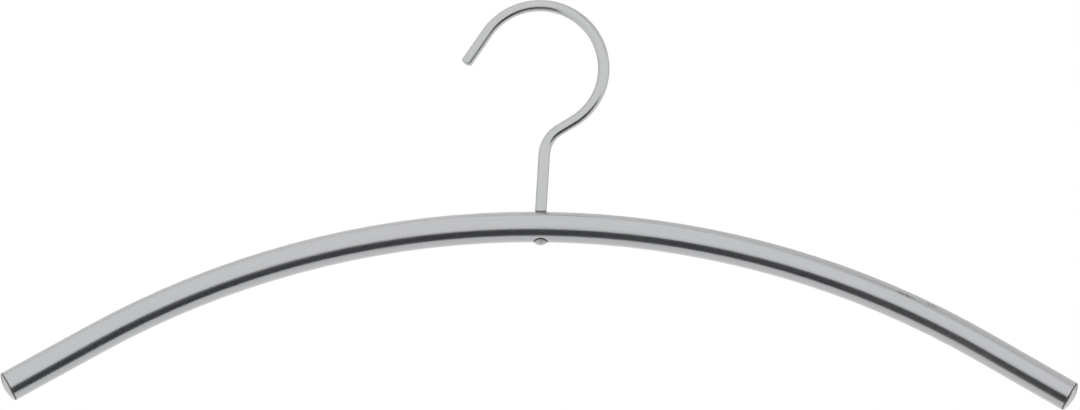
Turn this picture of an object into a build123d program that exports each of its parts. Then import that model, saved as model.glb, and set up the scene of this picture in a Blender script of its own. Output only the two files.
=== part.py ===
from build123d import *
import os
from math import sqrt

# An arched clothes hanger: one bent steel tube with a domed plug in each end, and a wire hook
# that turns in the middle of it. Lengths are in millimetres and angles in degrees.
# +X runs along the hanger to the right, +Y away from the viewer and +Z up.
# The origin is the point inside the top of the hook where the rail bears.

# The bent tube: one long bend between two straight ends
tube_diameter = 12.0
tube_wall = 1.0
arch_radius = 350.8
arch_half_angle = 29.8
straight_end = 38.8

# The plugs that close the tube
cap_rim = 0.5
cap_dome = 1.45
cap_edge_radius = 0.3
cap_spigot_length = 12.0
cap_spigot_lead = 0.8
glue_groove_width = 2.0
glue_groove_depth = 0.3
seam_break = 0.2

# The hook, bent from one wire
wire_diameter = 4.5
ring_inner_diameter = 45.9
ring_height = 63.85
ring_offset = 0.9
ring_start_angle = -58.0
ring_end_angle = 146.4
tip_length = 14.9
tip_chamfer = 0.7
neck_radius = 12.4
shank_lean = 2.9
lean_height = 1.0

# The swivel: a stem turned on the shank's foot, the bush it turns in and its riveted head
shoulder_width = 0.5
bush_wall = 1.2
bush_inset = 0.6
bush_chamfer = 0.25
head_rim = 0.35
head_dome = 1.45
hole_break = 0.2

# Clearances
running_gap = 0.05
end_play = 0.05
seat_gap = 0.02
head_gap = 0.15

# How far a cutter runs past what it cuts
overrun = 1.0

tube_radius = tube_diameter / 2
bore_radius = tube_radius - tube_wall
wire_radius = wire_diameter / 2
ring_radius = (ring_inner_diameter + wire_diameter) / 2
stem_radius = wire_radius - shoulder_width
bush_bore_radius = stem_radius + running_gap
bush_radius = bush_bore_radius + bush_wall
lower_hole_radius = bush_radius + seat_gap
head_radius = lower_hole_radius - head_gap

# Heights, and the line that the hook turns about
swivel_x = ring_offset
ring_z = -ring_inner_diameter / 2
crown_z = ring_z - ring_height
bush_top = crown_z + sqrt(bore_radius**2 - bush_radius**2) - seat_gap
bush_bottom = crown_z - tube_radius + bush_inset
shoulder_z = bush_top + end_play
head_z = bush_bottom - end_play

STAND = (Align.CENTER, Align.CENTER, Align.MIN)
HANG = (Align.CENTER, Align.CENTER, Align.MAX)


def on_swivel(height):
    """A place on the line that the hook turns about."""
    return Pos(swivel_x, 0, height)


def swept(route, radius):
    """A round bar along a route."""
    foot = Plane(origin=route @ 0, z_dir=route % 0)
    return sweep(foot * Circle(radius), path=route)


def turned(outline):
    """A turned piece from half of its outline, which closes along the turning axis."""
    return revolve(Plane.XZ * outline, Axis.Z)


def arch_route():
    """The tube's centreline, from its left end to its right end."""
    bend = CenterArc(
        (swivel_x, crown_z - arch_radius),
        arch_radius,
        90 + arch_half_angle,
        -2 * arch_half_angle,
    )
    left = Line(bend @ 0 - straight_end * (bend % 0), bend @ 0)
    right = Line(bend @ 1, bend @ 1 + straight_end * (bend % 1))
    return Wire((Plane.XZ * (left + bend + right)).edges())


def drilled(tube, radius, side):
    """The tube with a hole from its middle out through one side, its outer edge rounded over."""
    cutter = on_swivel(crown_z) * Cylinder(radius, tube_radius + overrun, align=side)
    holed = tube - cutter
    rims = new_edges(tube, cutter, combined=holed)
    outer = rims.sort_by(lambda rim: abs(rim.bounding_box().center().Z - crown_z))[-1]
    return fillet(outer, hole_break)


def arched_tube(route):
    """The bent tube, with the shank's hole on top and the bush's hole below."""
    tube = swept(route, tube_radius) - swept(route, bore_radius)
    ends = tube.faces().filter_by(GeomType.PLANE)
    tube = chamfer([end.outer_wire().edge() for end in ends], seam_break)
    tube = drilled(tube, wire_radius + running_gap, STAND)
    return drilled(tube, lower_hole_radius, HANG)


def end_cap(route, end):
    """The turned plug at one end of a route: 0 is its start and 1 its finish."""
    spigot = bore_radius - seat_gap
    groove = spigot - glue_groove_depth
    groove_top = (glue_groove_width - cap_spigot_length) / 2
    groove_foot = groove_top - glue_groove_width
    top = Vector(0, cap_rim + cap_dome)
    edge = Vector(tube_radius, cap_rim)
    side = Polyline(
        edge,
        (tube_radius, seam_break),
        (tube_radius - seam_break, 0),
        (spigot, 0),
        (spigot, groove_top),
        (groove, groove_top),
        (groove, groove_foot),
        (spigot, groove_foot),
        (spigot, cap_spigot_lead - cap_spigot_length),
        (spigot - cap_spigot_lead, -cap_spigot_length),
        (0, -cap_spigot_length),
        top,
    )
    outline = make_face(side + TangentArc(top, edge, tangent=(1, 0)))
    corner = outline.vertices().sort_by_distance(edge)[0]
    cap = turned(fillet(corner, cap_edge_radius))
    outward = (route % end) * (2 * end - 1)
    return Plane(origin=route @ end, x_dir=(0, 1, 0), z_dir=outward) * cap


def swivel_bush():
    """The turned bush that stands in the lower hole and against the top of the bore."""
    side = Polyline(
        (bush_bore_radius, bush_bottom),
        (bush_radius, bush_bottom),
        (bush_radius, bush_top - bush_chamfer),
        (bush_radius - bush_chamfer, bush_top),
        (bush_bore_radius, bush_top),
        (bush_bore_radius, bush_bottom),
    )
    return on_swivel(0) * turned(make_face(side))


def hook_route():
    """The wire's centreline, from the shoulder on its foot to its open tip."""
    ring = CenterArc(
        (0, ring_z), ring_radius, ring_start_angle, ring_end_angle - ring_start_angle
    )
    foot = Vector(swivel_x, shoulder_z)
    bend = Vector(swivel_x, crown_z + tube_radius + lean_height)
    leaning = Axis(bend, Vector(0, 1).rotate(Axis.Z, -shank_lean))
    neck = leaning.intersect(Axis(ring @ 0, ring % 0))
    shank = FilletPolyline(foot, bend, neck, ring @ 0, radius=neck_radius)
    tip = Line(ring @ 1, ring @ 1 + tip_length * (ring % 1))
    return Wire((Plane.XZ * (shank + ring + tip)).edges())


def riveted_foot():
    """The stem turned on the wire's foot, with the domed head that is formed on its end."""
    bottom = Vector(0, head_z - head_rim - head_dome)
    edge = Vector(head_radius, head_z - head_rim)
    side = Polyline(
        bottom,
        (0, shoulder_z),
        (stem_radius, shoulder_z),
        (stem_radius, head_z),
        (head_radius, head_z),
        edge,
    )
    return on_swivel(0) * turned(make_face(side + TangentArc(bottom, edge, tangent=(1, 0))))


def hook():
    """The bent wire with its chamfered tip, on its riveted foot."""
    wire = swept(hook_route(), wire_radius)
    tip = wire.faces().filter_by(GeomType.PLANE).sort_by(Axis.X)[0]
    return chamfer(tip.edges(), tip_chamfer) + riveted_foot()


route = arch_route()
nodes = {
    "arched_tube": arched_tube(route),
    "left_end_cap": end_cap(route, 0),
    "right_end_cap": end_cap(route, 1),
    "swivel_bush": swivel_bush(),
    "hook": hook(),
}

os.makedirs("parts", exist_ok=True)
for name, solid in nodes.items():
    export_step(solid, f"parts/{name}.step")
    size = solid.bounding_box().size
    print(f"{name}: {solid.volume:.1f} mm3, {size.X:.1f} x {size.Y:.1f} x {size.Z:.1f} mm")
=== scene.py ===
# %% [markdown]
# # An arched clothes hanger in satin stainless steel
#
# The hanger is one bent tube of 12 mm with a turned plug in each end, and a hook of 4.5 mm wire
# that swivels in a small bush in the middle of it. The CAD model already has every one of those
# shapes, so this lesson leaves the meshes alone and spends its effort on the four finishes and on
# the studio, because polished metal shows its surroundings more than it shows itself.
#
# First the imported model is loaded. Its lengths are in metres and the origin is the point inside
# the top of the hook where a wardrobe rail bears.

from math import cos, radians, sin

import bmesh
import bpy
from mathutils import Matrix, Vector


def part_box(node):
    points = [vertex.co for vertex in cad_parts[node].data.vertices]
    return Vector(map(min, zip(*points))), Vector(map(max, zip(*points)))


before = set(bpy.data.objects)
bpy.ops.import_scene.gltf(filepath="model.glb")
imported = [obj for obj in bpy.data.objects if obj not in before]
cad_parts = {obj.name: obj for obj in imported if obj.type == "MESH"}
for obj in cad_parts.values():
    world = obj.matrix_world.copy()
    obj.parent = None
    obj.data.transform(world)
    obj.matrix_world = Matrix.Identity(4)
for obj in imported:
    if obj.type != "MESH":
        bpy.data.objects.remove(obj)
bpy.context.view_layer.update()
MM = 0.001

for name in sorted(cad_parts):
    low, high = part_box(name)
    print(name, [round(side / MM, 1) for side in high - low], "mm")

# %% [markdown]
# The camera comes next, since every later choice is made for its view. The photograph was taken
# with a long lens from 11 degrees below the hanger, which is why the rivet under the tube shows
# and the hole on top of it does not. The picture is also turned by half a degree: the hook's ring
# stands 0.9 mm beside the line that it swivels about, so the real hanger hangs a touch low on the
# right. The lens follows from the distance and from the width that the picture covers there.

# %% Camera
PICTURE_WIDTH = 425.1 * MM
CAMERA_DISTANCE = 4.0
CAMERA_PITCH = radians(11.0)
CAMERA_ROLL = radians(0.530)
LOOK_AT = Vector((0.536 * MM, 0, -77.993 * MM))
SENSOR_WIDTH = 36.0
NEAREST = 0.1
FARTHEST = 60.0

forward = Vector((0, cos(CAMERA_PITCH), sin(CAMERA_PITCH)))
level_up = Vector((0, -sin(CAMERA_PITCH), cos(CAMERA_PITCH)))
right = Vector((cos(CAMERA_ROLL), 0, 0)) + sin(CAMERA_ROLL) * level_up
up = forward.cross(right) * -1

lens = bpy.data.cameras.new("long_lens")
lens.sensor_width = SENSOR_WIDTH
lens.lens = SENSOR_WIDTH * CAMERA_DISTANCE / PICTURE_WIDTH
lens.clip_start = NEAREST
lens.clip_end = FARTHEST
camera = bpy.data.objects.new("camera", lens)
turn = Matrix((right, up, -forward)).transposed().to_4x4()
camera.matrix_world = Matrix.Translation(LOOK_AT - CAMERA_DISTANCE * forward) @ turn
bpy.context.scene.collection.objects.link(camera)
bpy.context.scene.camera = camera
bpy.context.scene.view_settings.view_transform = "Standard"
print("lens", round(lens.lens, 1), "mm at", CAMERA_DISTANCE, "m")

# %% [markdown]
# A few helpers carry all the materials. Colours are written as the sRGB hex codes that a picture
# program shows, and one function turns them to the linear values that shader sockets take. Another
# adds one node: it sets the node's own settings, and fills each named socket with a number, a
# colour or another node's output. The last two open a material and end it.

# %% Helpers for colours and nodes
def from_hex(code):
    """The linear colour of an sRGB hex code, with full opacity."""
    shares = [int(code[i:i + 2], 16) / 255 for i in (1, 3, 5)]
    linear = [s / 12.92 if s <= 0.04045 else ((s + 0.055) / 1.055) ** 2.4 for s in shares]
    return (*linear, 1.0)


def add_node(tree, kind, sockets=None, **settings):
    """Adds one node, with its settings and with its sockets filled or linked."""
    node = tree.nodes.new(kind)
    for name, value in settings.items():
        setattr(node, name, value)
    for key, value in (sockets or {}).items():
        if isinstance(value, bpy.types.NodeSocket):
            tree.links.new(value, node.inputs[key])
        else:
            node.inputs[key].default_value = value
    return node


def new_material(name):
    """A material with its nodes cleared, and the node tree to fill."""
    material = bpy.data.materials.new(name)
    material.use_nodes = True
    material.node_tree.nodes.clear()
    return material, material.node_tree


def surface(tree, shader):
    """Ends a material's nodes in its output."""
    add_node(tree, "ShaderNodeOutputMaterial", {"Surface": shader})

# %% [markdown]
# ## The studio
#
# The studio is a white tent. Its world is plain white at a strength of 1, for the camera and for
# every reflection alike, so a colour renders about as it is written. A pale floor lies well below
# the hanger, as it would under a wardrobe rail.

# %% White surroundings and a pale floor
PAINT_ROUGHNESS = 0.9
FLOOR_Z = -1.8
FLOOR_HALF = 12.0

world = bpy.data.worlds.new("white_tent")
world.use_nodes = True
bpy.context.scene.world = world
background = world.node_tree.nodes["Background"]
background.inputs["Color"].default_value = (1.0, 1.0, 1.0, 1.0)
background.inputs["Strength"].default_value = 1.0


def plain_paint(name, code):
    """Matt paint in one colour, for the studio alone."""
    material, tree = new_material(name)
    paint = add_node(
        tree,
        "ShaderNodeBsdfPrincipled",
        {"Base Color": from_hex(code), "Roughness": PAINT_ROUGHNESS},
    )
    surface(tree, paint.outputs[0])
    return material


def studio_face(name, corners, material):
    """One flat face of the studio, from its corners."""
    shape = bmesh.new()
    shape.faces.new([shape.verts.new(corner) for corner in corners])
    mesh = bpy.data.meshes.new(name)
    shape.to_mesh(mesh)
    shape.free()
    face = bpy.data.objects.new(name, mesh)
    face.data.materials.append(material)
    bpy.context.scene.collection.objects.link(face)
    return face


def rectangle(x_low, x_high, low, high):
    """The four corners of a rectangle, from its limits in X and in the other direction."""
    return [(x_low, low), (x_high, low), (x_high, high), (x_low, high)]


floor_outline = rectangle(-FLOOR_HALF, FLOOR_HALF, -FLOOR_HALF, FLOOR_HALF)
floor_corners = [(x, y, FLOOR_Z) for x, y in floor_outline]
studio_face("floor", floor_corners, plain_paint("pale_floor", "#F8F8F7"))
print("floor", -FLOOR_Z, "m below the rail")

# %% [markdown]
# A bare tent would leave the steel looking like grey paper. Photographers stand black and grey
# cards round polished metal, out of the picture, and the metal mirrors them as crisp bands. The
# same is done here: the cards are hidden from the camera and throw no shadow, so only reflections
# find them.
#
# The black card stands 0.4 m in front of the hanger and below the camera's line of sight, and
# leans a little towards it at its foot. Its outline was worked out from the photograph: each dark
# spot on the tube and on the wire was traced back along its reflection to a flat sheet. The spots
# fill one wide shape whose top edge is nearly level and whose left edge slants away, which is why
# the right half of the hook stays clean while its left half carries a thin dark line.
#
# A smaller and nearly black card covers its left part, 4 mm nearer to the hanger. That part is
# what the right arm mirrors. The steel is duller there and would blur the black to a dark grey,
# but the photograph's band is as dark on that arm as on the other.

# %% Cards that only reflections see
def card(name, corners, code):
    """A studio card that the camera, the floor and the shadows don't see."""
    face = studio_face(name, corners, plain_paint(name + "_paint", code))
    face.visible_camera = False
    face.visible_diffuse = False
    face.visible_shadow = False
    face.visible_transmission = False
    print(name, "in", code)


CARD_TOP = -0.275
CARD_TOP_Y = -0.4
CARD_LEAN = 0.16
DARKER_GAP = 0.004


def leaning(outline, nearer=0.0):
    """Corners on the black card's leaning sheet, or a little nearer to the hanger."""
    return [(x, CARD_TOP_Y - CARD_LEAN * (z - CARD_TOP) + nearer, z) for x, z in outline]


# Both outlines hold the X and Z of each corner, in metres.
black_outline = [
    (-0.095, -0.290),
    (-0.075, -0.225),
    (-0.050, -0.215),
    (-0.015, -0.275),
    (0.005, -0.295),
    (0.025, -0.280),
    (0.045, -0.240),
    (0.065, -0.255),
    (0.085, -0.290),
    (0.145, -0.265),
    (0.205, -0.260),
    (0.265, -0.240),
    (0.310, -0.180),
    (0.410, -0.205),
    (0.515, -0.205),
    (0.800, -0.240),
    (1.150, -0.390),
    (1.700, -0.640),
    (1.750, -1.700),
    (0.950, -1.700),
    (0.700, -1.350),
    (0.485, -1.265),
    (0.365, -1.100),
    (0.320, -1.025),
    (0.225, -1.020),
    (0.240, -1.165),
    (0.155, -1.395),
    (-0.105, -1.400),
    (-0.215, -1.210),
    (-0.225, -1.045),
    (-0.270, -1.175),
    (-0.410, -1.375),
    (-0.560, -1.360),
    (-0.550, -1.090),
    (-0.450, -0.960),
    (-0.365, -0.840),
    (-0.285, -0.700),
    (-0.225, -0.600),
    (-0.175, -0.515),
    (-0.130, -0.420),
    (-0.115, -0.345),
]
darker_outline = [
    (-0.080, -0.480),
    (-0.170, -0.550),
    (-0.330, -0.820),
    (-0.460, -1.020),
    (-0.200, -1.000),
    (-0.110, -0.760),
]
card("black_card", leaning(black_outline), "#3A3C3F")
card("darker_card", leaning(darker_outline, DARKER_GAP), "#101112")

# %% [markdown]
# Grey cards give the steel its soft half tones. One behind the hanger stops its edges from melting
# into the white, since at a glancing angle the tube mirrors what is behind it. Two lie on the
# floor behind the black card and dim the underside. The greyer one, next to the black card's foot,
# is a painted shadow: it stands for the shade that the black card would cast on the floor.
#
# Four hang overhead. A very pale one covers the left, and one that is a touch greyer begins near
# the middle and covers the right, with a slanting front edge. Just under it hang a greyer strip
# and a small, clearly grey streak, which make the soft dark streak along the top of the right arm.

# %% Grey cards behind, below and overhead
def level_card(name, height, outline, code):
    """A card that lies level, from its outline in X and Y."""
    card(name, [(x, y, height) for x, y in outline], code)


BACK_Y = 1.5
BACK_FOOT = -0.2
BACK_TOP = 1.2
SIDE_X = 3.0
CARD_HALF = 1.5
SHADE_Y = -0.26
LOW_Y = -0.1
LEFT_Y = 0.02
RIGHT_Y = -0.46
CARDS_MEET_X = 0.03
LAYER = 0.01
LOW_Z = FLOOR_Z + LAYER
HIGH_Z = 0.6

back_outline = rectangle(-SIDE_X, SIDE_X, BACK_FOOT, BACK_TOP)
card("back_card", [(x, BACK_Y, z) for x, z in back_outline], "#C4C5C6")
# The shade card is a painted shadow of the black card on the floor.
level_card("shade_card", LOW_Z, rectangle(-CARD_HALF, CARD_HALF, SHADE_Y, LOW_Y), "#E0E0E0")
level_card("low_card", LOW_Z, rectangle(-CARD_HALF, CARD_HALF, LOW_Y, BACK_Y), "#EEEEEE")
level_card("left_card", HIGH_Z, rectangle(-SIDE_X, CARDS_MEET_X, LEFT_Y, BACK_Y), "#F7F7F7")

right_outline = [
    (CARDS_MEET_X, -0.06),
    (0.20, -0.12),
    (0.28, -0.25),
    (0.36, -0.38),
    (0.45, RIGHT_Y),
    (CARD_HALF, RIGHT_Y),
    (CARD_HALF, BACK_Y),
    (CARDS_MEET_X, BACK_Y),
]
strip_outline = [
    (0.26, -0.02),
    (0.34, -0.22),
    (0.42, -0.34),
    (0.62, -0.30),
    (1.0, -0.30),
    (1.0, 0.10),
    (0.45, 0.12),
    (0.30, 0.12),
]
streak_outline = [(0.36, -0.05), (0.38, -0.24), (0.44, -0.22), (0.43, 0.04)]
level_card("right_card", HIGH_Z, right_outline, "#EEEEEE")
level_card("strip_card", HIGH_Z - LAYER, strip_outline, "#E6E6E6")
level_card("streak_card", HIGH_Z - 2 * LAYER, streak_outline, "#C4C4C4")

# %% [markdown]
# ## Straightened coordinates
#
# Tube and wire got their fine lines while they were straight bars, the tube from a polishing belt
# and the wire from its drawing die, so the lines run along them and follow every bend. A pattern
# in plain X, Y and Z would cross a bent bar at every angle. So the coordinates are straightened
# first. The angle about the bend's middle says how far along the bar a point is. That angle is
# held between the bend's two ends, which makes the straight stretches beyond them come out
# straight, and turning the point back by it lays the bar out along X.

# %% Straightened coordinates
def straightened(tree, middle, radius, first, last):
    """Each point's place on a straightened bar: X along it, Z outwards from the bend's middle."""
    place = add_node(tree, "ShaderNodeTexCoord").outputs["Object"]
    from_middle = add_node(
        tree, "ShaderNodeVectorMath", {0: place, 1: middle}, operation="SUBTRACT"
    ).outputs[0]
    parts = add_node(tree, "ShaderNodeSeparateXYZ", {0: from_middle})
    angle = add_node(
        tree, "ShaderNodeMath", {0: parts.outputs[0], 1: parts.outputs[2]}, operation="ARCTAN2"
    ).outputs[0]
    held = add_node(
        tree, "ShaderNodeClamp", {"Value": angle, "Min": first, "Max": last}
    ).outputs[0]
    back = add_node(tree, "ShaderNodeMath", {0: held, 1: -1.0}, operation="MULTIPLY").outputs[0]
    turned = add_node(
        tree,
        "ShaderNodeVectorRotate",
        {"Vector": from_middle, "Angle": back},
        rotation_type="Y_AXIS",
    ).outputs[0]
    run = add_node(tree, "ShaderNodeMath", {0: held, 1: radius}, operation="MULTIPLY").outputs[0]
    shift = add_node(tree, "ShaderNodeCombineXYZ", {0: run, 2: -radius}).outputs[0]
    return add_node(
        tree, "ShaderNodeVectorMath", {0: turned, 1: shift}, operation="ADD"
    ).outputs[0]


ARCH_RADIUS = 350.8 * MM
ARCH_HALF_ANGLE = radians(29.8)
STRAIGHT_END = 38.8 * MM
SWIVEL_X = 0.9 * MM
CROWN_Z = -86.8 * MM
TUBE_RADIUS = 6.0 * MM
ARCH_MIDDLE = (SWIVEL_X, 0, CROWN_Z - ARCH_RADIUS)
TUBE_END = ARCH_RADIUS * ARCH_HALF_ANGLE + STRAIGHT_END


def along_tube(tree):
    """Each point's place along and across the straightened tube, from its mid-length."""
    return straightened(tree, ARCH_MIDDLE, ARCH_RADIUS, -ARCH_HALF_ANGLE, ARCH_HALF_ANGLE)


print("tube from end to end, mm:", round(2 * TUBE_END / MM, 1))

# %% [markdown]
# ## What the steels share
#
# Stainless steel is a clear grey metal, and a satin belt leaves it between mirror and matt. Four
# patterns come back in its finishes: fine streaks, a gloss that drifts in clouds, a distance that
# counts more in some directions than in others, and the strongest of several masks. Noise seldom
# leaves the range from 0.3 to 0.7, so the clouds spread that range over the whole gloss.

# %% Patterns that the steels share
NOISE_LOW = 0.3
NOISE_HIGH = 0.7


def streaks(tree, place, sizes):
    """Fine streaks, from the size of one along X, Y and Z."""
    stretch = tuple(1 / size for size in sizes)
    stretched = add_node(
        tree, "ShaderNodeVectorMath", {0: place, 1: stretch}, operation="MULTIPLY"
    ).outputs[0]
    return add_node(
        tree, "ShaderNodeTexNoise", {"Vector": stretched, "Scale": 1.0, "Detail": 2.0}
    ).outputs[0]


def cloudy_gloss(tree, along, width, gloss):
    """A roughness that drifts between two values, in clouds of one width."""
    clouds = add_node(
        tree, "ShaderNodeTexNoise", {"Vector": along, "Scale": 1 / width, "Detail": 3.0}
    ).outputs[0]
    return add_node(
        tree,
        "ShaderNodeMapRange",
        {
            "Value": clouds,
            "From Min": NOISE_LOW,
            "From Max": NOISE_HIGH,
            "To Min": gloss[0],
            "To Max": gloss[1],
        },
    ).outputs[0]


def scaled_length(tree, offset, scale):
    """The length of an offset, once it is scaled along X, Y and Z."""
    scaled = add_node(
        tree, "ShaderNodeVectorMath", {0: offset, 1: scale}, operation="MULTIPLY"
    ).outputs[0]
    return add_node(
        tree, "ShaderNodeVectorMath", {0: scaled}, operation="LENGTH"
    ).outputs["Value"]


def strongest(tree, masks):
    """The strongest of several masks at each point."""
    most = masks[0]
    for mask in masks[1:]:
        most = add_node(tree, "ShaderNodeMath", {0: most, 1: mask}, operation="MAXIMUM").outputs[0]
    return most

# %% [markdown]
# Every metal here ends in the same two nodes, a relief and a metal shader, and the three steels
# share a few more before them. A steel takes two tones and a pattern of fine marks, which blends
# between the tones and tilts the light by a hair, a roughness, and a mask for grime and painted
# shade: the dark film of oil and dust that settles in every gap, whose tone also stands for the
# shade that falls into those gaps.

# %% Shared end of the finishes
BAR_TONES = ("#BBBCBE", "#C5C6C8")
WIRE_TONES = ("#BEBFC0", "#C8C9CA")
# This dark tone is grime, and also painted shade in the seams, in the hole's rim and round the
# hook's foot and head; the scuffs use it too.
GRIME_AND_SHADE = "#838281"
GRIME_AND_SHADE_ROUGHNESS = 0.65
MARK_DEPTH = 0.0003 * MM


def metal(tree, tone, rough, heights, depth):
    """Ends a metal: its tone, its roughness, and a relief from a pattern of heights."""
    relief = add_node(
        tree, "ShaderNodeBump", {"Height": heights, "Distance": depth, "Strength": 1.0}
    ).outputs[0]
    shader = add_node(
        tree,
        "ShaderNodeBsdfPrincipled",
        {"Base Color": tone, "Metallic": 1.0, "Roughness": rough, "Normal": relief},
    )
    surface(tree, shader.outputs[0])


def steel_surface(tree, tones, marks, gloss, grime_and_shade):
    """Ends a satin steel: two tones, fine marks, a roughness and a mask for grime and painted
    shade.
    """
    clean = add_node(
        tree,
        "ShaderNodeMix",
        {"Factor": marks, "A": from_hex(tones[0]), "B": from_hex(tones[1])},
        data_type="RGBA",
    ).outputs["Result"]
    tone = add_node(
        tree,
        "ShaderNodeMix",
        {"Factor": grime_and_shade, "A": clean, "B": from_hex(GRIME_AND_SHADE)},
        data_type="RGBA",
    ).outputs["Result"]
    rough = add_node(
        tree, "ShaderNodeMix", {"Factor": grime_and_shade, "A": gloss, "B": GRIME_AND_SHADE_ROUGHNESS}
    ).outputs["Result"]
    metal(tree, tone, rough, marks, MARK_DEPTH)


def dress(node, material):
    """Gives a CAD node's mesh its finish."""
    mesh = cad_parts[node].data
    mesh.materials.clear()
    mesh.materials.append(material)
    print(node, "wears", material.name, "of", len(material.node_tree.nodes), "nodes")

# %% [markdown]
# ## The tube's grime, painted shade and scuffs
#
# Grime sits where a cloth can't reach: in the two seams at the plugs, and in the rim of the hole
# that the hook goes through. Its dark tone there is also painted shade, for the shade that falls
# into the seams and into the gap round the hook. Two scuffs lie in a row on the upper front of the
# right arm, where something hard rubbed along it. A real scuff is a row of fine slanting ticks.
# They are drawn 0.8 mm wide, coarser than they are, since finer ones would blur into a plain grey
# patch.

# %% Grime, painted shade and scuffs on the tube
SEAM_GRIME_AND_SHADE = 0.28 * MM
SEAM_FADE = 0.3 * SEAM_GRIME_AND_SHADE
HOLE_RIM = 2.3 * MM
HOLE_GRIME_AND_SHADE = 0.3 * MM
HOLE_FADE = 0.4 * HOLE_GRIME_AND_SHADE
SCUFF_THICK = 0.7 * MM
SCUFF_OUTER = 1.2
SCUFF_INNER = 0.7
TICK_WIDTH = 0.8 * MM
TICK_LOW = 0.35
TICK_HIGH = 0.5
# Each scuff's middle on the straightened tube, half its length, and how strong it is.
SCUFFS = (
    ((146.1 * MM, -4.75 * MM, 3.66 * MM), 4.2 * MM, 0.85),
    ((157.0 * MM, -4.05 * MM, 4.43 * MM), 2.4 * MM, 0.6),
)


def scuff(tree, along, middle, half_length, strength):
    """A mask for one scuff along the tube, broken up into short slanting ticks."""
    from_scuff = add_node(
        tree, "ShaderNodeVectorMath", {0: along, 1: middle}, operation="SUBTRACT"
    ).outputs[0]
    shrink = (1 / half_length, 1 / SCUFF_THICK, 1 / SCUFF_THICK)
    distance = scaled_length(tree, from_scuff, shrink)
    inside = add_node(
        tree,
        "ShaderNodeMapRange",
        {"Value": distance, "From Min": SCUFF_OUTER, "From Max": SCUFF_INNER, "To Max": strength},
    ).outputs[0]
    slant = (1 / TICK_WIDTH, 0, 1 / TICK_WIDTH)
    across = add_node(
        tree, "ShaderNodeVectorMath", {0: from_scuff, 1: slant}, operation="DOT_PRODUCT"
    ).outputs["Value"]
    noise = add_node(
        tree,
        "ShaderNodeTexNoise",
        {"W": across, "Scale": 1.0, "Detail": 1.0},
        noise_dimensions="1D",
    ).outputs[0]
    ticks = add_node(
        tree, "ShaderNodeMapRange", {"Value": noise, "From Min": TICK_LOW, "From Max": TICK_HIGH}
    ).outputs[0]
    return add_node(
        tree, "ShaderNodeMath", {0: inside, 1: ticks}, operation="MULTIPLY"
    ).outputs[0]


def from_mid_length(tree, along):
    """How far each point is along the tube from its mid-length, on either side."""
    run = add_node(tree, "ShaderNodeSeparateXYZ", {0: along}).outputs[0]
    return add_node(tree, "ShaderNodeMath", {0: run}, operation="ABSOLUTE").outputs[0]


def seam_grime_and_shade(tree, along):
    """A mask for the dark line of grime and painted shade where the plugs meet the tube, on both
    sides of each seam.
    """
    beyond = add_node(
        tree,
        "ShaderNodeMath",
        {0: from_mid_length(tree, along), 1: TUBE_END},
        operation="SUBTRACT",
    ).outputs[0]
    apart = add_node(tree, "ShaderNodeMath", {0: beyond}, operation="ABSOLUTE").outputs[0]
    return add_node(
        tree,
        "ShaderNodeMapRange",
        {
            "Value": apart,
            "From Min": SEAM_GRIME_AND_SHADE + SEAM_FADE,
            "From Max": SEAM_GRIME_AND_SHADE - SEAM_FADE,
        },
    ).outputs[0]


def hole_grime_and_shade(tree):
    """A mask for the dark rim of grime and painted shade round the hole on top of the tube, where
    the hook goes in.
    """
    place = add_node(tree, "ShaderNodeTexCoord").outputs["Object"]
    hole = (SWIVEL_X, 0, CROWN_Z + TUBE_RADIUS)
    distance = add_node(
        tree, "ShaderNodeVectorMath", {0: place, 1: hole}, operation="DISTANCE"
    ).outputs["Value"]
    edge = HOLE_RIM + HOLE_GRIME_AND_SHADE
    return add_node(
        tree,
        "ShaderNodeMapRange",
        {"Value": distance, "From Min": edge + HOLE_FADE, "From Max": edge - HOLE_FADE},
    ).outputs[0]

# %% [markdown]
# ## The tube's steel
#
# The tube is stainless steel, belt polished along its length and then satined. The eye gets a
# soft mirror with faint lines along the arch. Real polishing lines are about 0.05 mm wide and too
# fine to show here, so they are drawn 0.4 mm wide and some 35 mm long. Cloudy changes in gloss,
# from handling and from the polishing belt, are 25 mm across, and the steel is a little duller
# towards the right end.

# %% Steel of the tube
LINE_SIZES = (35 * MM, 0.4 * MM, 0.4 * MM)
CLOUD_WIDTH = 25 * MM
TUBE_GLOSS = (0.195, 0.225)
DULL_FROM = 110 * MM
DULL_TO = 170 * MM
DULL_END_GLOSS = 0.02


def satin_tube_steel():
    """Satin stainless tube: faint polishing lines along it and cloudy changes in its gloss."""
    material, tree = new_material("satin_tube_steel")
    along = along_tube(tree)
    lines = streaks(tree, along, LINE_SIZES)
    gloss = cloudy_gloss(tree, along, CLOUD_WIDTH, TUBE_GLOSS)
    run = add_node(tree, "ShaderNodeSeparateXYZ", {0: along}).outputs[0]
    dulled = add_node(
        tree,
        "ShaderNodeMapRange",
        {"Value": run, "From Min": DULL_FROM, "From Max": DULL_TO, "To Max": DULL_END_GLOSS},
    ).outputs[0]
    rough = add_node(tree, "ShaderNodeMath", {0: gloss, 1: dulled}, operation="ADD").outputs[0]
    # The seam and hole masks darken the tone with grime and with painted shade in the gaps.
    masks = [seam_grime_and_shade(tree, along), hole_grime_and_shade(tree)]
    masks += [scuff(tree, along, *facts) for facts in SCUFFS]
    steel_surface(tree, BAR_TONES, lines, rough, strongest(tree, masks))
    return material


dress("arched_tube", satin_tube_steel())

# %% [markdown]
# ## The plugs' steel
#
# The plugs are turned from stainless bar. A turning tool leaves rings about the plug's axis, and
# tumbling afterwards softens them and mottles the gloss. The distance from the tube's axis gives
# those rings, and taking the distance along the tube off it carries them over the plug's rounded
# corner and down its rim. Real rings are 0.1 mm apart, drawn here as 0.3 mm so that they show.

# %% Steel of the plugs
TURNED_RING = 0.3 * MM
TUMBLED_WIDTH = 1.5 * MM
CAP_GLOSS = (0.22, 0.30)


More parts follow.
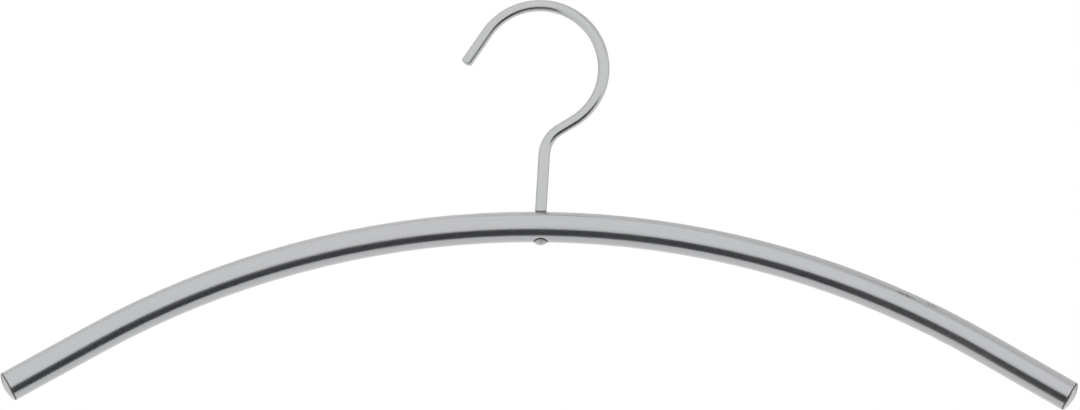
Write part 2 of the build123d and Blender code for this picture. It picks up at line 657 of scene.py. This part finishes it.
def turned_cap_steel():
    """Turned and tumbled stainless steel: soft rings about the plug's axis."""
    material, tree = new_material("turned_cap_steel")
    along = along_tube(tree)
    from_axis = scaled_length(tree, along, (0, 1, 1))
    reach = add_node(
        tree,
        "ShaderNodeMath",
        {0: from_axis, 1: from_mid_length(tree, along)},
        operation="SUBTRACT",
    ).outputs[0]
    rings = add_node(
        tree,
        "ShaderNodeTexNoise",
        {"W": reach, "Scale": 1 / TURNED_RING, "Detail": 1.0},
        noise_dimensions="1D",
    ).outputs[0]
    gloss = cloudy_gloss(tree, along, TUMBLED_WIDTH, CAP_GLOSS)
    # The seam mask darkens the plug's side of each seam: grime, and painted shade in the seam.
    steel_surface(tree, BAR_TONES, rings, gloss, seam_grime_and_shade(tree, along))
    return material


cap_steel = turned_cap_steel()
dress("left_end_cap", cap_steel)
dress("right_end_cap", cap_steel)

# %% [markdown]
# ## The hook's wire
#
# The hook is hard drawn stainless wire, bent cold on a former. Its drawing lines run along it, so
# they need straightened coordinates too, but the wire bends two ways: round the ring one way and
# round the neck the other. Each bend gets its own straightening, and the two meet on the short
# straight stretch between them, where both are exact. The ring is laid out the other way round,
# so it is flipped and shifted until its numbers carry on from the neck's.

# %% Straightened coordinates for the wire
RING_MIDDLE = (0, 0, -22.95 * MM)
RING_RADIUS = 25.2 * MM
RING_FIRST = radians(-56.4)
RING_LAST = radians(148.0)
NECK_MIDDLE = (14.41 * MM, 0, -58.29 * MM)
NECK_RADIUS = 12.4 * MM
NECK_FIRST = radians(-87.1)
NECK_LAST = radians(-32.0)
BETWEEN_BENDS = 6.51 * MM
MEETING_Z = -46.05 * MM


def along_wire(tree):
    """Each point's place along and across the straightened wire, from its foot to its tip."""
    neck = straightened(tree, NECK_MIDDLE, NECK_RADIUS, NECK_FIRST, NECK_LAST)
    ring = straightened(tree, RING_MIDDLE, RING_RADIUS, RING_FIRST, RING_LAST)
    flipped = add_node(
        tree, "ShaderNodeVectorMath", {0: ring, 1: (-1, 1, -1)}, operation="MULTIPLY"
    ).outputs[0]
    carry_on = RING_LAST * RING_RADIUS + NECK_LAST * NECK_RADIUS + BETWEEN_BENDS
    shifted = add_node(
        tree, "ShaderNodeVectorMath", {0: flipped, 1: (carry_on, 0, 0)}, operation="ADD"
    ).outputs[0]
    place = add_node(tree, "ShaderNodeTexCoord").outputs["Object"]
    height = add_node(tree, "ShaderNodeSeparateXYZ", {0: place}).outputs[2]
    on_ring = add_node(
        tree, "ShaderNodeMath", {0: height, 1: MEETING_Z}, operation="GREATER_THAN"
    ).outputs[0]
    return add_node(
        tree,
        "ShaderNodeMix",
        {"Factor": on_ring, "A": neck, "B": shifted},
        data_type="VECTOR",
    ).outputs["Result"]


print("wire in the ring, mm:", round((RING_LAST - RING_FIRST) * RING_RADIUS / MM, 1))
print("wire in the neck, mm:", round((NECK_LAST - NECK_FIRST) * NECK_RADIUS / MM, 1))

# %% [markdown]
# The wire wears where it works. The inside of the ring's top slides along wardrobe rails, which
# leaves fine scratches across the wire, along the rail. The foot turns in the tube's upper hole,
# and a dark film of oil and dust creeps half a millimetre up the shank there. Below, where hands
# and clothes wipe it off, it reaches about half as far onto the riveted head. That dark film is
# also painted shade, for the shade where the shank meets the tube and in the gap round the head.
# The head itself was hammered over when the hook was put in, so it is duller than the drawn wire.

# %% Wear, grime and painted shade of the hook
RUB_REACH = 7.0 * MM
RUB_FULL = 0.3 * RUB_REACH
RUB_SIZES = (0.25 * MM, 4.0 * MM, 0.25 * MM)
GRIME_AND_SHADE_REACH = 0.4 * MM
GRIME_AND_SHADE_RISE = 0.12 * MM
GRIME_AND_SHADE_FADE = 0.1 * MM
HEAD_TOP = CROWN_Z - 5.45 * MM
HAMMERED_FADE = 0.3 * MM
HAMMERED_GLOSS = 0.22


def rail_rub(tree):
    """Scratches across the wire, where the inside of the ring's top rubs on rails."""
    place = add_node(tree, "ShaderNodeTexCoord").outputs["Object"]
    from_rail = add_node(
        tree, "ShaderNodeVectorMath", {0: place}, operation="LENGTH"
    ).outputs["Value"]
    near = add_node(
        tree,
        "ShaderNodeMapRange",
        {"Value": from_rail, "From Min": RUB_REACH, "From Max": RUB_FULL},
    ).outputs[0]
    scratches = streaks(tree, place, RUB_SIZES)
    return add_node(
        tree, "ShaderNodeMath", {0: near, 1: scratches}, operation="MULTIPLY"
    ).outputs[0]


def swivel_grime_and_shade(tree):
    """A mask for the film of grime and painted shade on foot and head, which creeps just out of
    the tube's holes.
    """
    place = add_node(tree, "ShaderNodeTexCoord").outputs["Object"]
    film_middle = (0, 0, CROWN_Z + GRIME_AND_SHADE_RISE)
    from_tube = add_node(
        tree, "ShaderNodeVectorMath", {0: place, 1: film_middle}, operation="SUBTRACT"
    ).outputs[0]
    distance = scaled_length(tree, from_tube, (0, 1, 1))
    edge = TUBE_RADIUS + GRIME_AND_SHADE_REACH
    return add_node(
        tree,
        "ShaderNodeMapRange",
        {"Value": distance, "From Min": edge + GRIME_AND_SHADE_FADE, "From Max": edge - GRIME_AND_SHADE_FADE},
    ).outputs[0]


def hammered_head(tree):
    """The roughness that hammering added to the riveted head."""
    place = add_node(tree, "ShaderNodeTexCoord").outputs["Object"]
    height = add_node(tree, "ShaderNodeSeparateXYZ", {0: place}).outputs[2]
    return add_node(
        tree,
        "ShaderNodeMapRange",
        {
            "Value": height,
            "From Min": HEAD_TOP,
            "From Max": HEAD_TOP - HAMMERED_FADE,
            "To Max": HAMMERED_GLOSS,
        },
    ).outputs[0]

# %% [markdown]
# Drawn wire is a little brighter than the belt polished tube, and its gloss drifts in clouds of
# 12 mm. The drawing lines are as fine as the tube's, and are drawn 0.3 mm wide and 30 mm long. The
# rubbed place is added to the lines, so it shows in tone, relief and gloss alike.

# %% Steel of the hook's wire
WIRE_LINE_SIZES = (30 * MM, 0.3 * MM, 0.3 * MM)
WIRE_CLOUD_WIDTH = 12 * MM
WIRE_GLOSS = (0.20, 0.24)
RUB_GLOSS = 0.10


def hook_wire_steel():
    """Drawn stainless wire: lines along it, rubbed inside the ring's top, and darkened at its foot
    and head with grime and painted shade.
    """
    material, tree = new_material("hook_wire_steel")
    along = along_wire(tree)
    lines = streaks(tree, along, WIRE_LINE_SIZES)
    rub = rail_rub(tree)
    marks = add_node(tree, "ShaderNodeMath", {0: lines, 1: rub}, operation="ADD").outputs[0]
    gloss = cloudy_gloss(tree, along, WIRE_CLOUD_WIDTH, WIRE_GLOSS)
    rubbed = add_node(
        tree,
        "ShaderNodeMath",
        {0: rub, 1: RUB_GLOSS, 2: gloss},
        operation="MULTIPLY_ADD",
    ).outputs[0]
    rough = add_node(
        tree, "ShaderNodeMath", {0: rubbed, 1: hammered_head(tree)}, operation="ADD"
    ).outputs[0]
    # The swivel mask paints grime and painted shade where the wire leaves the tube's holes.
    steel_surface(tree, WIRE_TONES, marks, rough, swivel_grime_and_shade(tree))
    return material


dress("hook", hook_wire_steel())

# %% [markdown]
# ## The bush
#
# Only a dark sliver of the bush shows, between the hook's riveted head and the tube. It is
# sintered iron: powder pressed and baked until the grains hold together, and then soaked in oil
# so that the hook turns quietly for years. That makes it dark and matt, with pores of about
# 0.1 mm, drawn as 0.2 mm. Its tones are painted darker still, nearly black, as painted shade for
# the narrow gap in which it shows.

# %% Sintered iron and painted shade of the bush
PORE_WIDTH = 0.2 * MM
PORE_DEPTH = 0.02 * MM
# These tones are painted near black, as painted shade in the gap round the hook's head.
IRON_AND_SHADE_TONES = ("#1C1C1D", "#3E3E40")
IRON_GLOSS = (0.45, 0.7)


def bush_sintered_iron():
    """Oil-filled sintered iron, painted near black as shade for its gap: matt and full of pores.
    """
    material, tree = new_material("bush_sintered_iron")
    place = add_node(tree, "ShaderNodeTexCoord").outputs["Object"]
    pores = add_node(
        tree, "ShaderNodeTexVoronoi", {"Vector": place, "Scale": 1 / PORE_WIDTH}
    ).outputs["Distance"]
    tone = add_node(
        tree,
        "ShaderNodeMix",
        {"Factor": pores, "A": from_hex(IRON_AND_SHADE_TONES[0]), "B": from_hex(IRON_AND_SHADE_TONES[1])},
        data_type="RGBA",
    ).outputs["Result"]
    rough = add_node(
        tree,
        "ShaderNodeMapRange",
        {"Value": pores, "To Min": IRON_GLOSS[0], "To Max": IRON_GLOSS[1]},
    ).outputs[0]
    metal(tree, tone, rough, pores, PORE_DEPTH)
    return material


dress("swivel_bush", bush_sintered_iron())
